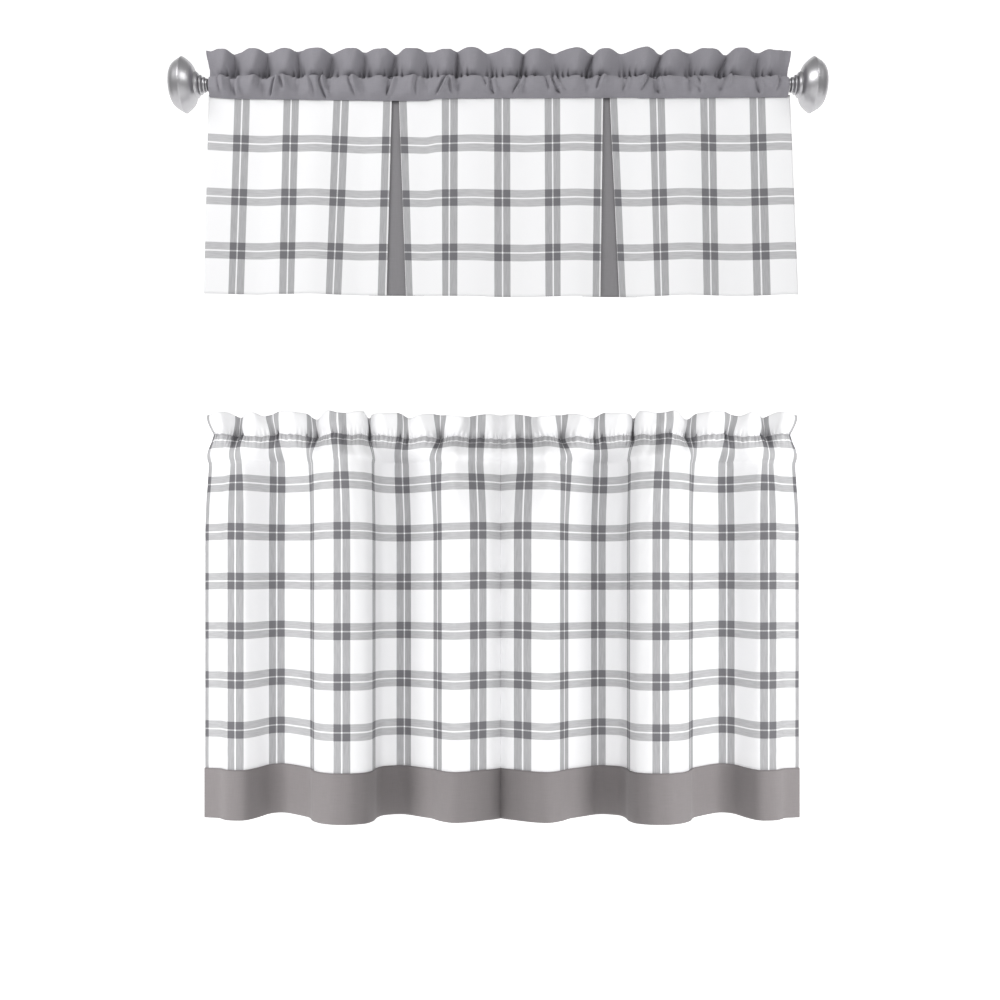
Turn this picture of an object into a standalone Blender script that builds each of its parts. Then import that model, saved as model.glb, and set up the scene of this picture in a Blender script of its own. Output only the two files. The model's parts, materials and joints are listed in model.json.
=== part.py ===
"""Kitchen curtain set: a gathered valance on its rod with two finials, over a pair of cafe tiers.

Metres, +Z up. The origin is the middle of the valance rod's axis, and the front faces -Y.
Each sheet of cloth is a grid laid on its middle surface, which Solidify makes one closed sheet.
"""
import bpy
import bmesh
import numpy as np
from math import pi, radians

# Cloth
CLOTH = 0.0010  # thickness of one layer
BAND_CLOTH = 0.0020  # the tier's hem band is folded double
GAP = 0.0003  # between two pieces that touch
LAYER_STEP = CLOTH + GAP  # from the middle of one layer to the middle of the next

# Valance rod and its finials
ROD_RADIUS = 0.0070
ROD_HALF_LENGTH = 0.4340
ROD_SIDES = 24
FINIAL_TIP = 0.4946  # from the middle of the rod to the tip
FINIAL_STEPS = 20
# Turned outline of a finial, in millimetres: in from the tip, radius
FINIAL_OUTLINE = (
    (0.0, 0.0),
    (0.6, 4.5),
    (2.6, 9.0),
    (3.6, 20.0),
    (5.2, 25.0),
    (10.4, 31.0),
    (18.0, 35.6),
    (23.6, 39.8),
    (24.8, 39.8),
    (31.0, 35.1),
    (37.8, 29.1),
    (41.2, 20.4),
    (46.4, 16.0),
    (47.4, 12.6),
    (49.6, 14.2),
    (52.0, 9.6),
    (54.8, 10.8),
    (57.0, 8.2),
    (59.0, 9.0),
    (60.3, 7.4),
)

# Valance
# The low places between the gathers of its heading, in millimetres: place along the rod, and how
# far the top edge dips there
VALANCE_DIPS = (
    (-439, 3), (-397, 10), (-349, 4), (-300, 3), (-248, 4), (-202, 4), (-155, 9), (-108, 3),
    (-62, 6), (-13, 9), (43, 9), (84, 9), (140, 10), (189, 9), (245, 10), (287, 9), (343, 10),
    (396, 9), (439, 4),
)
GATHER_DEPTH = 0.0100  # how far a gather stands before and behind the heading's middle
GATHER_PLACES = (0.0, 0.28, 0.72)  # where a gather is measured, from one dip to the next
GATHER_ROUNDNESS = 2.2
POCKET_SPREAD = 0.988  # width of the pocket over that of the top edge
VALANCE_TOP = 0.0535
VALANCE_STITCH = 0.0128  # the row of stitches over the rod
VALANCE_SEAM = -0.0220  # where the pocket is sewn to the panels
VALANCE_HEM = -0.3165
SEAM_TUCK = 0.0040  # how far a panel runs up inside its heading
SEAM_STEP = 0.0014  # from the middle of a gathered panel to that of the heading over it
SEAM_BITE = 0.0050  # how far the heading's layers lie flat on what they hold
INSET_RETURN = 0.0260  # how far a panel folds back behind itself at an inset
RETURN_STEP = 0.0016  # from a panel's middle to that of its folded part
INSET_STEP = 0.0033  # from a panel's middle to that of the inset behind it
# Edges of the valance's panels, in millimetres: name, left and right at the top, left and right
# at the hem, and whether each side folds back at an inset
VALANCE_PANELS = (
    ("valance_panel_left", -434.0, -159.5, -441.0, -166.0, False, True),
    ("valance_panel_centre", -147.5, 157.0, -137.5, 153.5, True, True),
    ("valance_panel_right", 168.0, 438.0, 181.0, 450.0, True, False),
)
VALANCE_INSETS = (
    ("valance_inset_left", -159.5, -147.5, -166.0, -137.5),
    ("valance_inset_right", 157.0, 168.0, 153.5, 181.0),
)
PANEL_SWING = 0.0030  # how far the valance's panels wave at the hem
PANEL_WAVE = 0.190  # from one wave to the next along the hem
PANEL_STATIONS = 13  # places across a panel
INSET_STATIONS = 5

# Tiers
MEETING_X = 0.0039  # where the two tiers meet
MEETING_GAP = 0.0008
RIGHT_TIER_SPREAD = 1.01  # the right tier is spread a little wider along its rod
TIER_TOP = -0.4915
TIER_STITCH = -0.5270
POCKET_MIDDLE = -0.5444
TIER_SEAM = -0.5618
BODY_LENGTH = 0.5430  # cloth from the pocket's lower stitches to the hem
BAND_HEIGHT = 0.0750
BAND_LAP = 0.0080  # how far the body runs on behind its band
FOLD_LENGTH = 0.1100  # below the pocket, the gathers turn into the long folds over this length
FOLD_START = 0.0120  # where that begins to be quick
POCKET_ROOM = 0.0100  # from the middle of a pocket to the cloth at its closest
# Width of one tier: down the cloth from its pocket, width
TIER_WIDTHS = ((-0.071, 0.4350), (-0.035, 0.4300), (0.0, 0.4360), (0.040, 0.4415), (0.070, 0.4430))
# Gathers of the left tier's heading, from its outer edge to the middle: width in millimetres,
# how steeply its sides turn, in degrees, and how far the top edge dips at its end, in millimetres
TIER_GATHERS = (
    (49.5, 71, 9),
    (51.0, 76, 10),
    (58.5, 62, 10),
    (43.0, 78, 3),
    (45.0, 78, 9),
    (54.0, 71, 11),
    (51.0, 77, 3),
    (55.5, 68, 7),
    (33.0, 33, 2),
)
TOP_DIP_REACH = 0.3  # share of a gather over which a dip of the tier's top edge fades out
GATHER_SHARPNESS = 2.0
# Long folds of the left tier from its outer edge to the middle. Each row runs from a ridge to a
# hollow or back: width in millimetres, lean of its side in degrees, towards the front if over 0,
# and how sharply it turns at both ends
TIER_FOLDS = (
    (60.0, 68, 2.0),
    (52.0, -58, 2.0),
    (108.0, 87, 4.0),
    (79.0, -88, 2.2),
    (88.5, 76, 2.0),
    (55.5, -46, 2.0),
)
SIDE_PLACES = (0.25, 0.75)  # where each side of a gather is measured
BODY_ROWS = (0.0, 0.022, 0.050, 0.085, 0.130, 0.250, 0.370)  # down the cloth, above the band
STEP_ACROSS = 201  # fine steps the folds are worked out in
STEP_DOWN = 0.006
SIDE_STEPS = 400  # steps in which one side of a fold is measured
LEAN_SCALES = (0.3, 1.4)  # every lean is scaled within these until the cloth has its width
HALVINGS = 30
OWN_RISE = 0.3  # share of its own rise that a place keeps where the cloth draws up into folds

# Colours: red, green and blue
WHITE_CHECK = (0.86, 0.86, 0.88)
GREY_CLOTH = (0.27, 0.26, 0.28)
WARM_GREY_CLOTH = (0.27, 0.25, 0.25)
SATIN_METAL = (0.62, 0.61, 0.62)


def clear_scene():
    for thing in list(bpy.data.objects):
        bpy.data.objects.remove(thing, do_unlink=True)


def material(name, colour, roughness, metallic=0.0):
    made = bpy.data.materials.new(name)
    made.use_nodes = True
    shader = made.node_tree.nodes["Principled BSDF"]
    shader.inputs["Base Color"].default_value = (*colour, 1.0)
    shader.inputs["Roughness"].default_value = roughness
    shader.inputs["Metallic"].default_value = metallic
    return made


def add_object(name, mesh_builder, finish):
    mesh = bpy.data.meshes.new(name)
    mesh_builder.to_mesh(mesh)
    mesh_builder.free()
    mesh.materials.append(finish)
    made = bpy.data.objects.new(name, mesh)
    bpy.context.scene.collection.objects.link(made)
    return made


def add_sheet(name, rows, thickness, finish):
    """One sheet of cloth on rows of points, each row from -X to +X and the rows from first to last."""
    columns = len(rows[0])
    builder = bmesh.new()
    bmesh.ops.create_grid(builder, x_segments=columns - 1, y_segments=len(rows) - 1, size=1.0)
    ordered = sorted(builder.verts, key=lambda v: (-round(v.co.y, 5), v.co.x))
    for vertex, point in zip(ordered, (p for row in rows for p in row)):
        vertex.co = point
    made = add_object(name, builder, finish)
    solid = made.modifiers.new("cloth thickness", "SOLIDIFY")
    solid.thickness = thickness
    solid.offset = 0.0
    solid.use_even_offset = True
    solid.use_quality_normals = True
    return made


def beside(x, y, distance):
    """The line (x, y) moved sideways by distance, towards +Y for a line that runs along +X."""
    dx, dy = np.diff(x), np.diff(y)
    length = np.hypot(dx, dy)
    nx, ny = -dy / length, dx / length
    first_x, last_x = np.append(nx[0], nx), np.append(nx, nx[-1])
    first_y, last_y = np.append(ny[0], ny), np.append(ny, ny[-1])
    mitre = 1.0 + first_x * last_x + first_y * last_y
    return x + distance * (first_x + last_x) / mitre, y + distance * (first_y + last_y) / mitre


def row_at(x, y, z):
    z = np.broadcast_to(z, x.shape)
    return list(zip(x.tolist(), y.tolist(), z.tolist()))


def heading_rows(x, wave, levels):
    """Rows of a heading: up its front, over its top edge and down its back.

    levels holds height, spread along x, share of the gathers, how far the front layer and the
    back layer lie from the middle plane, and how far each is moved off the other.
    """
    rows = []
    for side, order in ((-1, levels), (1, levels[::-1])):
        for height, spread, share, front, back, apart in order:
            out = front if side < 0 else back
            line_x, line_y = beside(x * spread, wave * share + side * out, side * apart)
            rows.append((line_x, line_y, height))
    return rows


def turned_finial(name, side, finish):
    """A finial turned about the rod's axis, on the side -1 or 1 of the rod."""
    builder = bmesh.new()
    points = [
        builder.verts.new((side * (FINIAL_TIP - inward / 1000), 0.0, radius / 1000))
        for inward, radius in FINIAL_OUTLINE
    ]
    end = builder.verts.new((side * (FINIAL_TIP - FINIAL_OUTLINE[-1][0] / 1000), 0.0, 0.0))
    points.append(end)
    edges = [builder.edges.new(pair) for pair in zip(points, points[1:])]
    bmesh.ops.spin(builder, geom=points + edges, cent=(0, 0, 0), axis=(1, 0, 0), dvec=(0, 0, 0),
                   angle=2 * pi, steps=FINIAL_STEPS, use_merge=True, use_duplicate=False)
    bmesh.ops.remove_doubles(builder, verts=builder.verts, dist=0.00001)
    bmesh.ops.recalc_face_normals(builder, faces=builder.faces)
    made = add_object(name, builder, finish)
    made.data.shade_smooth()
    made.data.set_sharp_from_angle(angle=radians(35))
    return made


def valance_rod(finish):
    builder = bmesh.new()
    bmesh.ops.create_cone(builder, cap_ends=True, segments=ROD_SIDES, radius1=ROD_RADIUS,
                          radius2=ROD_RADIUS, depth=2 * ROD_HALF_LENGTH)
    bar = add_object("valance_rod", builder, finish)
    bar.rotation_euler = (0.0, pi / 2, 0.0)
    return bar


def valance_heading(finish):
    x, wave, top = [], [], []
    for (left, _), (right, _) in zip(VALANCE_DIPS, VALANCE_DIPS[1:]):
        for place in GATHER_PLACES:
            x.append((left + (right - left) * place) / 1000)
            wave.append(-GATHER_DEPTH * (1 - 2 * abs(2 * place - 1) ** GATHER_ROUNDNESS))
            top.append(VALANCE_TOP)
    x.append(VALANCE_DIPS[-1][0] / 1000)
    wave.append(GATHER_DEPTH)
    top.append(VALANCE_TOP)
    for number, (_, dip) in enumerate(VALANCE_DIPS):
        top[number * len(GATHER_PLACES)] -= dip / 1000
    behind = INSET_STEP + LAYER_STEP
    levels = (
        (VALANCE_SEAM, POCKET_SPREAD, 0.00, LAYER_STEP, behind, 0.0),
        (VALANCE_SEAM + SEAM_BITE, POCKET_SPREAD, 0.00, LAYER_STEP, behind, 0.0),
        (-0.0090, POCKET_SPREAD, 0.45, 0.0130, 0.0130, 0.0),
        (0.0045, POCKET_SPREAD, 0.55, 0.0140, 0.0140, 0.0),
        (VALANCE_STITCH, POCKET_SPREAD, 0.45, 0.0, 0.0, 0.0008),
        (np.array(top), 1.000, 1.00, 0.0, 0.0, 0.0009),
    )
    rows = [row_at(*line) for line in heading_rows(np.array(x), np.array(wave), levels)]
    return add_sheet("valance_heading", rows, CLOTH, finish)


def panel_depth(x, height):
    """How far a valance panel waves at x, more towards its hem."""
    drop = (VALANCE_SEAM - height) / (VALANCE_SEAM - VALANCE_HEM)
    return PANEL_SWING * max(drop, 0.0) * np.cos(2 * pi * x / PANEL_WAVE)


def valance_heights():
    return (VALANCE_SEAM + SEAM_TUCK, VALANCE_SEAM - 0.03, VALANCE_SEAM - 0.15, VALANCE_HEM)


def side_at(top, hem, height):
    drop = (VALANCE_SEAM - height) / (VALANCE_SEAM - VALANCE_HEM)
    return (top + (hem - top) * min(max(drop, 0.0), 1.0)) / 1000


def valance_panel(row, finish):
    name, left_top, right_top, left_hem, right_hem, folds_left, folds_right = row
    rows = []
    for height in valance_heights():
        left = side_at(left_top, left_hem, height)
        right = side_at(right_top, right_hem, height)
        x = np.linspace(left, right, PANEL_STATIONS)
        y = panel_depth(x, height)
        if folds_left:
            x = np.insert(x, 0, (left + INSET_RETURN, left))
            y = np.insert(y, 0, (panel_depth(left + INSET_RETURN, height) + RETURN_STEP,
                                 panel_depth(left, height) + RETURN_STEP))
        if folds_right:
            x = np.append(x, (right, right - INSET_RETURN))
            y = np.append(y, (panel_depth(right, height) + RETURN_STEP,
                              panel_depth(right - INSET_RETURN, height) + RETURN_STEP))
        rows.append(row_at(x, y, height))
    return add_sheet(name, rows, CLOTH, finish)


def valance_inset(row, finish):
    name, left_top, right_top, left_hem, right_hem = row
    rows = []
    for height in valance_heights():
        left = side_at(left_top, left_hem, height) - INSET_RETURN
        right = side_at(right_top, right_hem, height) + INSET_RETURN
        x = np.linspace(left, right, INSET_STATIONS)
        rows.append(row_at(x, panel_depth(x, height) + INSET_STEP, height))
    return add_sheet(name, rows, CLOTH, finish)


def flat_length(width, lean, sharpness):
    """The cloth in one side of a fold that is that wide, leaning that far at its middle."""
    place = (np.arange(SIDE_STEPS) + 0.5) / SIDE_STEPS
    return width / np.cos(radians(lean) * np.sin(pi * place) ** sharpness).mean()


def fold_sides(table):
    """Start and end of each side, as shares of the cloth's width, with its lean and sharpness."""
    lengths = [flat_length(width, lean, sharpness) for width, lean, sharpness in table]
    ends = np.cumsum(lengths) / sum(lengths)
    starts = np.append(0.0, ends[:-1])
    return [(a, b, radians(row[1]), row[2]) for a, b, row in zip(starts, ends, table)]


def gather_table():
    rows = []
    for width, lean, _ in TIER_GATHERS:
        rows += [(width / 2, lean, GATHER_SHARPNESS), (width / 2, -lean, GATHER_SHARPNESS)]
    return rows


def flat_tier_width():
    return sum(flat_length(*row) for row in gather_table()) / 1000


def lean_at(sides, share):
    lean = np.zeros_like(share)
    for start, end, most, sharpness in sides:
        inside = (share >= start) & (share <= end)
        lean[inside] = most * np.sin(pi * (share[inside] - start) / (end - start)) ** sharpness
    return lean


def tier_line(down):
    """x and depth y of the left tier's cloth at a place down it. x is 0 where the tiers meet."""
    share = np.linspace(0.0, 1.0, STEP_ACROSS)
    past = max(down, 0.0) ** 2 / (max(down, 0.0) + FOLD_START)
    turned = 1.0 - (1.0 - min(past / FOLD_LENGTH, 1.0)) ** 2
    lean = ((1.0 - turned) * lean_at(fold_sides(gather_table()), share)
            + turned * lean_at(fold_sides(TIER_FOLDS), share))
    width = np.interp(down, *zip(*TIER_WIDTHS))
    step = flat_tier_width() / (STEP_ACROSS - 1)
    low, high = LEAN_SCALES
    for _ in range(HALVINGS):
        scale = (low + high) / 2
        x = np.append(0.0, np.cumsum(np.cos(scale * (lean[1:] + lean[:-1]) / 2)) * step)
        low, high = (scale, high) if x[-1] > width else (low, scale)
    y = -np.append(0.0, np.cumsum(np.sin(scale * (lean[1:] + lean[:-1]) / 2)) * step)
    return x - x[-1], y - y.mean()


def tier_stations():
    """Places across a tier's cloth, as shares of its width, that all its pieces share."""
    places = [0.0]
    for start, end, _, _ in fold_sides(gather_table()):
        places += [start + (end - start) * place for place in SIDE_PLACES]
    return np.array(places + [1.0])


def sampled(values, stations):
    return np.interp(stations, np.linspace(0.0, 1.0, STEP_ACROSS), values)


def tier_fall(rows):
    """x, y and z of the left tier's cloth at rows down it. Its length stays that of flat cloth."""
    stations = tier_stations()
    steps = np.arange(0.0, BODY_LENGTH + STEP_DOWN, STEP_DOWN)
    lines = [np.array(tier_line(down)) for down in steps]
    height = np.full(STEP_ACROSS, TIER_SEAM)
    heights = [height]
    for above, below in zip(lines, lines[1:]):
        moved = ((below - above) ** 2).sum(axis=0)
        drop = np.sqrt(np.maximum(STEP_DOWN ** 2 - moved, 0.0))
        height = height - OWN_RISE * drop - (1.0 - OWN_RISE) * drop.mean()
        heights.append(height)
    found = []
    for down in rows:
        x, y = tier_line(down)
        z = np.array([np.interp(down, steps, column) for column in np.array(heights).T])
        found.append(tuple(sampled(values, stations) for values in (x, y, z)))
    return found


def tier_row(side, x, y, z):
    """A row of the left tier, -1, or of its mirror, 1, from -X to +X. x is 0 where the tiers meet."""
    spread = 1.0 if side < 0 else RIGHT_TIER_SPREAD
    points = row_at(MEETING_X + side * (MEETING_GAP / 2 - spread * x), y, z)
    return points if side < 0 else points[::-1]


def tier_top(stations):
    """Height of the left tier's top edge, which dips between its gathers."""
    top = np.full_like(stations, TIER_TOP)
    ends = [side[1] for side in fold_sides(gather_table())][1::2]
    starts = [0.0] + ends[:-1]
    for start, end, (_, _, dip) in zip(starts, ends, TIER_GATHERS):
        reach = TOP_DIP_REACH * (end - start)
        top -= dip / 1000 * np.clip(1.0 - abs(stations - end) / reach, 0.0, 1.0)
    return top


def tier(side, check, grey):
    word = "left" if side < 0 else "right"
    stations = tier_stations()
    x, wave = (sampled(values, stations) for values in tier_line(0.0))
    deep = abs(wave).max()
    out = POCKET_ROOM + 0.6 * deep
    levels = (
        (TIER_SEAM, 1.000, 1.0, 0.0, 0.0, SEAM_STEP),
        (TIER_SEAM + SEAM_BITE, 1.000, 1.0, 0.0, 0.0, SEAM_STEP),
        (POCKET_MIDDLE - 0.008, 0.998, 0.6, out, out, LAYER_STEP),
        (POCKET_MIDDLE + 0.008, 0.994, 0.6, out, out, LAYER_STEP),
        (TIER_STITCH, 0.985, 0.8, 0.0, 0.0, 0.0008),
        (tier_top(stations), 1.005, 0.8, 0.0, 0.0, 0.0009),
    )
    rows = [tier_row(side, *line) for line in heading_rows(x, wave, levels)]
    add_sheet(f"tier_{word}_heading", rows, CLOTH, check)

    band_top = BODY_LENGTH - BAND_HEIGHT
    body = [tier_row(side, x, wave, TIER_SEAM + SEAM_TUCK)]
    body += [tier_row(side, *line) for line in tier_fall(BODY_ROWS + (band_top + BAND_LAP,))]
    add_sheet(f"tier_{word}_panel", body, CLOTH, check)

    band = []
    before = -(CLOTH / 2 + GAP + BAND_CLOTH / 2)
    for x_row, y_row, z_row in tier_fall((band_top, band_top + BAND_LAP, BODY_LENGTH)):
        band.append(tier_row(side, *beside(x_row, y_row, before), z_row))
    add_sheet(f"tier_{word}_band", band, BAND_CLOTH, grey)


clear_scene()
check_cloth = material("check_cloth", WHITE_CHECK, 0.9)
grey_cloth = material("grey_cloth", GREY_CLOTH, 0.9)
band_cloth = material("band_cloth", WARM_GREY_CLOTH, 0.9)
satin_metal = material("satin_metal", SATIN_METAL, 0.3, 1.0)

valance_rod(satin_metal)
turned_finial("finial_left", -1, satin_metal)
turned_finial("finial_right", 1, satin_metal)
valance_heading(grey_cloth)
for panel_row in VALANCE_PANELS:
    valance_panel(panel_row, check_cloth)
for inset_row in VALANCE_INSETS:
    valance_inset(inset_row, grey_cloth)
for tier_side in (-1, 1):
    tier(tier_side, check_cloth, band_cloth)
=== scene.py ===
# %% [markdown]
# # A kitchen curtain set
# A gathered valance hangs from a rod with a turned finial at each end. Below it hangs a pair of
# cafe tiers of the same yarn-dyed check, each with a plain band along its hem. Each sheet is laid
# again on the folds of the frame's solids, fine enough for soft gathers, tucks and creases.

# %% Load the frame
import json
from math import pi, radians

import bmesh
import bpy
import numpy as np
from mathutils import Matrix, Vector

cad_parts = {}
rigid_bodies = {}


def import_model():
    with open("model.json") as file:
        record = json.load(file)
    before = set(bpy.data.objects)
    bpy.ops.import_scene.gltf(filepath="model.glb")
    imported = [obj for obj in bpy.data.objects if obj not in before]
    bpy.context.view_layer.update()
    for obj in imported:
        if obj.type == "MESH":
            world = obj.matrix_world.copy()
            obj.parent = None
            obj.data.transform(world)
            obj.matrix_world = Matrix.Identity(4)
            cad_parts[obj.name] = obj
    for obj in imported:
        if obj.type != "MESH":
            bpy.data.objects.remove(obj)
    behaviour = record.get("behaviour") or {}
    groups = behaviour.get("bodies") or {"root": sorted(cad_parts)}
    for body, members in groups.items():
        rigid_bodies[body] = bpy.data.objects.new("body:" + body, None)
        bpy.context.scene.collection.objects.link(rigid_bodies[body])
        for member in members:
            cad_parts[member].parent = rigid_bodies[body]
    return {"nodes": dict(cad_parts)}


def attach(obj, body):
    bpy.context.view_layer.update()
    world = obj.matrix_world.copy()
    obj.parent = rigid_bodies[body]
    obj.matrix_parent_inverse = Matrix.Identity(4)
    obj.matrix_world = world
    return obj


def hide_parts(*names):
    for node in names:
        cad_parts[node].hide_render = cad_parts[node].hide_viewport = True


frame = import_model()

scene = bpy.context.scene
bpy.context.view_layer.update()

# %% [markdown]
# ## Camera
# The set is seen straight on, from a little below its middle, so that the hems of the tiers dip at
# each fold that stands forward. A normal lens at 1.8 m gives them the right wave. A tilted camera
# would make upright edges lean, so it stays level and a small shift frames the set.

# %% Camera
CAMERA_PLACE = (0.003, -1.8, -0.7575)
CAMERA_LENS = 43.2
CAMERA_SHIFT = 0.09

camera_data = bpy.data.cameras.new("camera")
camera_data.lens = CAMERA_LENS
camera_data.sensor_width = 36.0
camera_data.shift_y = CAMERA_SHIFT
camera = bpy.data.objects.new("camera", camera_data)
camera.location = CAMERA_PLACE
camera.rotation_euler = (pi / 2, 0.0, 0.0)
scene.collection.objects.link(camera)
scene.camera = camera
print("camera at", CAMERA_PLACE)

# %% [markdown]
# ## Helpers
# Each finish is a small graph of nodes, and most shapes start as a bmesh. These helpers let both
# read as lists of steps.

# %% Helpers for finishes and shapes
FLAT_MAP = "flat cloth"


def set_inputs(node, values):
    for name, value in values.items():
        node.inputs[name].default_value = value


def new_finish(name, values):
    """A material with the values set on its shader, its tree of nodes and the shader."""
    finish = bpy.data.materials.new(name)
    finish.use_nodes = True
    shader = finish.node_tree.nodes["Principled BSDF"]
    set_inputs(shader, values)
    return finish, finish.node_tree, shader


def feed(tree, socket, value):
    """value goes into socket: another node's output is connected, a number is set."""
    if isinstance(value, bpy.types.NodeSocket):
        tree.links.new(value, socket)
    else:
        socket.default_value = value


def sum_of(tree, operation, first, second=0.0, third=0.0):
    """The output of a Math node."""
    node = tree.nodes.new("ShaderNodeMath")
    node.operation = operation
    for socket, value in zip(node.inputs, (first, second, third)):
        feed(tree, socket, value)
    return node.outputs[0]


def ramp(tree, value, start, end, low=0.0, high=1.0):
    """low up to start, high from end on, and smooth between them."""
    node = tree.nodes.new("ShaderNodeMapRange")
    node.interpolation_type = "SMOOTHSTEP"
    for socket, number in zip(node.inputs, (value, start, end, low, high)):
        feed(tree, socket, number)
    return node.outputs["Result"]


def noise(tree, place, stretch, detail=2.0, roughness=0.5):
    """Stretched noise: stretch holds how many specks fit in a metre along each direction."""
    mapping = tree.nodes.new("ShaderNodeMapping")
    set_inputs(mapping, {"Scale": (*stretch, 1.0)})
    tree.links.new(place, mapping.inputs["Vector"])
    node = tree.nodes.new("ShaderNodeTexNoise")
    node.noise_dimensions = "2D"
    set_inputs(node, {"Scale": 1.0, "Detail": detail, "Roughness": roughness})
    tree.links.new(mapping.outputs["Vector"], node.inputs["Vector"])
    return node.outputs["Fac"]


def mixed(tree, share, first, second):
    """Colour first where share is 0 and second where it is 1."""
    node = tree.nodes.new("ShaderNodeMix")
    node.data_type = "RGBA"
    feed(tree, node.inputs["Factor"], share)
    feed(tree, node.inputs["A"], first)
    feed(tree, node.inputs["B"], second)
    return node.outputs["Result"]


def cloth_place(tree):
    """Place on the flat cloth in metres: the whole vector, across and along."""
    place = tree.nodes.new("ShaderNodeUVMap")
    place.uv_map = FLAT_MAP
    parts = tree.nodes.new("ShaderNodeSeparateXYZ")
    tree.links.new(place.outputs["UV"], parts.inputs[0])
    return place.outputs["UV"], parts.outputs["X"], parts.outputs["Y"]


def object_of(name, shape, finish):
    """The bmesh shape as a smooth object in one finish."""
    mesh = bpy.data.meshes.new(name)
    shape.to_mesh(mesh)
    shape.free()
    mesh.shade_smooth()
    mesh.materials.append(finish)
    made = bpy.data.objects.new(name, mesh)
    scene.collection.objects.link(made)
    return made


print("helpers ready")

# %% [markdown]
# ## Light
# White cloth shows its folds only where light comes from one side, and a pale sky keeps the shadows
# open. Each tier has a lamp at its outer side, flagged off the other tier, and a lamp in front
# fills both. The bands have side lamps of their own and no fill, as they show deeper shade. A pair
# higher up lights the valance, mostly from the left, and one soft lamp is for all.

# %% Light
SKY_TOP = 0.42
SKY_BOTTOM = 0.28
# Lamps: name, place, aim, power in watts, size, and which pieces they light
LAMPS = (
    ("lamp_tier_left", (-1.35, -1.00, -0.72), (-0.2, 0.0, -0.80), 7.6, 0.6, "left"),
    ("lamp_tier_right", (1.35, -1.00, -0.72), (0.2, 0.0, -0.80), 7.6, 0.6, "right"),
    ("lamp_tiers", (0.0, -2.20, -0.45), (0.0, 0.0, -0.75), 12.4, 1.0, "tiers"),
    ("lamp_hem_left", (-1.35, -1.00, -0.72), (-0.2, 0.0, -0.80), 15.5, 0.6, "left hem"),
    ("lamp_hem_right", (1.35, -1.00, -0.72), (0.2, 0.0, -0.80), 15.5, 0.6, "right hem"),
    ("lamp_valance_left", (-1.40, -1.00, 0.75), (0.0, 0.0, -0.15), 16.4, 0.7, "upper"),
    ("lamp_valance_right", (1.40, -1.00, 0.75), (0.0, 0.0, -0.15), 8.0, 0.7, "upper"),
    ("lamp_front", (0.0, -2.6, 0.6), (0.0, 0.0, -0.55), 7.0, 1.2, "all"),
)

scene.view_settings.view_transform = "Standard"
world = bpy.data.worlds.new("studio")
world.use_nodes = True
scene.world = world
sky = world.node_tree.nodes
sky_place = sky.new("ShaderNodeTexCoord")
sky_height = sky.new("ShaderNodeSeparateXYZ")
sky_shade = sky.new("ShaderNodeMapRange")
set_inputs(sky_shade, {"From Min": -0.6, "From Max": 0.6,
                       "To Min": SKY_BOTTOM, "To Max": SKY_TOP})
world.node_tree.links.new(sky_place.outputs["Generated"], sky_height.inputs[0])
world.node_tree.links.new(sky_height.outputs["Z"], sky_shade.inputs["Value"])
world.node_tree.links.new(sky_shade.outputs["Result"], sky["Background"].inputs["Strength"])
set_inputs(sky["Background"], {"Color": (1.0, 1.0, 1.0, 1.0)})

lit = {}
for lamp_name, place, aim, power, size, part in LAMPS:
    lamp_data = bpy.data.lights.new(lamp_name, "AREA")
    lamp_data.energy = power
    lamp_data.size = size
    lamp = bpy.data.objects.new(lamp_name, lamp_data)
    lamp.location = place
    lamp.rotation_euler = (Vector(aim) - Vector(place)).to_track_quat("-Z", "Y").to_euler()
    scene.collection.objects.link(lamp)
    if part != "all":
        lit.setdefault(part, bpy.data.collections.new(f"lit from {part}"))
        lamp.light_linking.receiver_collection = lit[part]
print("lamps", [row[0] for row in LAMPS])

# %% [markdown]
# ## Backdrop
# The floor is one sheet that turns up into the wall in a wide curve, so no line crosses the
# picture. It is extruded from one bent line.

# %% Backdrop
FLOOR_HEIGHT = -1.48
WALL_PLACE = 1.6
WALL_TOP = 2.6
SWEEP = 0.8  # radius of the curve between floor and wall
SWEEP_STEPS = 16
FLOOR_FRONT = -3.4
BACKDROP_HALF = 4.5

backdrop_line = [(FLOOR_FRONT, FLOOR_HEIGHT)]
for step in range(SWEEP_STEPS + 1):
    turn = pi / 2 * step / SWEEP_STEPS
    backdrop_line.append((WALL_PLACE - SWEEP + SWEEP * np.sin(turn),
                          FLOOR_HEIGHT + SWEEP - SWEEP * np.cos(turn)))
backdrop_line.append((WALL_PLACE, WALL_TOP))
backdrop_mesh = bmesh.new()
line_points = [backdrop_mesh.verts.new((-BACKDROP_HALF, y, z)) for y, z in backdrop_line]
line_edges = [backdrop_mesh.edges.new(pair) for pair in zip(line_points, line_points[1:])]
swept = bmesh.ops.extrude_edge_only(backdrop_mesh, edges=line_edges)
moved = [part for part in swept["geom"] if isinstance(part, bmesh.types.BMVert)]
bmesh.ops.translate(backdrop_mesh, verts=moved, vec=(2 * BACKDROP_HALF, 0.0, 0.0))
bmesh.ops.recalc_face_normals(backdrop_mesh, faces=backdrop_mesh.faces)
paper = new_finish("white_paper", {"Base Color": (0.93, 0.93, 0.93, 1.0), "Roughness": 1.0,
                                   "Emission Color": (1.0, 1.0, 1.0, 1.0),
                                   "Emission Strength": 0.60})[0]
backdrop = object_of("backdrop", backdrop_mesh, paper)
print("backdrop points", len(backdrop.data.vertices))

# %% [markdown]
# ## Plain weave
# Every cloth here is a plain weave of about 18 yarns to the centimetre. Two trains of waves give
# the crowns of the weave, and long narrow noise makes some yarns fatter. It is fine relief, so it
# goes through a Bump node.

# %% The weave's relief
YARNS_PER_METRE = 1800.0
WEAVE_HEIGHT = 0.00004
SLUBS_ACROSS = 900.0
SLUBS_ALONG = 45.0


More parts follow.
